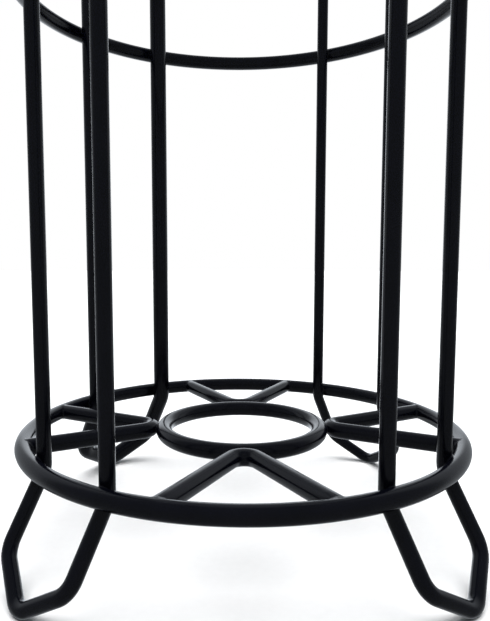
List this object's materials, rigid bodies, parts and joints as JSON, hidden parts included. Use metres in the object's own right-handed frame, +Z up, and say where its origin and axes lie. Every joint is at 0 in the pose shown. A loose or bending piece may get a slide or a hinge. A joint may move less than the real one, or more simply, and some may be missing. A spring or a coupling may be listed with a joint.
{
  "type": "umbrella stand",
  "caption": "Round open umbrella stand in welded rod: plain hoops, hairpin uprights that kick out into pointed feet, and a floor of V spokes round a small centre hoop.",
  "frame": {"origin": "on the floor, on the axis of the hoops", "axes": "+Z up along the hoops' axis, -Y to the front, where one spoke points"},
  "size_m": [0.2344, 0.2344, 0.5094],
  "materials": {
    "painted_rod": "near-black semi-gloss powder coat on round steel rod",
    "painted_weld": "the same coat over weld beads, a little rougher"
  },
  "bodies": {
    "root": {"base_hoop": "painted_rod", "middle_hoop": "painted_rod", "top_hoop": "painted_rod", "centre_hoop": "painted_rod", "spoke_front": "painted_rod", "spoke_right": "painted_rod", "spoke_back": "painted_rod", "spoke_left": "painted_rod", "leg_front_right": "painted_rod", "leg_back_right": "painted_rod", "leg_back_left": "painted_rod", "leg_front_left": "painted_rod", "weld_base_hoop_front_right_a": "painted_weld", "weld_base_hoop_front_right_b": "painted_weld", "weld_middle_hoop_front_right_a": "painted_weld", "weld_middle_hoop_front_right_b": "painted_weld", "weld_top_hoop_front_right_a": "painted_weld", "weld_top_hoop_front_right_b": "painted_weld", "weld_base_hoop_back_right_a": "painted_weld", "weld_base_hoop_back_right_b": "painted_weld", "weld_middle_hoop_back_right_a": "painted_weld", "weld_middle_hoop_back_right_b": "painted_weld", "weld_top_hoop_back_right_a": "painted_weld", "weld_top_hoop_back_right_b": "painted_weld", "weld_base_hoop_back_left_a": "painted_weld", "weld_base_hoop_back_left_b": "painted_weld", "weld_middle_hoop_back_left_a": "painted_weld", "weld_middle_hoop_back_left_b": "painted_weld", "weld_top_hoop_back_left_a": "painted_weld", "weld_top_hoop_back_left_b": "painted_weld", "weld_base_hoop_front_left_a": "painted_weld", "weld_base_hoop_front_left_b": "painted_weld", "weld_middle_hoop_front_left_a": "painted_weld", "weld_middle_hoop_front_left_b": "painted_weld", "weld_top_hoop_front_left_a": "painted_weld", "weld_top_hoop_front_left_b": "painted_weld", "weld_base_hoop_spoke_front_a": "painted_weld", "weld_base_hoop_spoke_front_b": "painted_weld", "weld_centre_hoop_spoke_front": "painted_weld", "weld_base_hoop_spoke_right_a": "painted_weld", "weld_base_hoop_spoke_right_b": "painted_weld", "weld_centre_hoop_spoke_right": "painted_weld", "weld_base_hoop_spoke_back_a": "painted_weld", "weld_base_hoop_spoke_back_b": "painted_weld", "weld_centre_hoop_spoke_back": "painted_weld", "weld_base_hoop_spoke_left_a": "painted_weld", "weld_base_hoop_spoke_left_b": "painted_weld", "weld_centre_hoop_spoke_left": "painted_weld"}
  },
  "joints": []
}
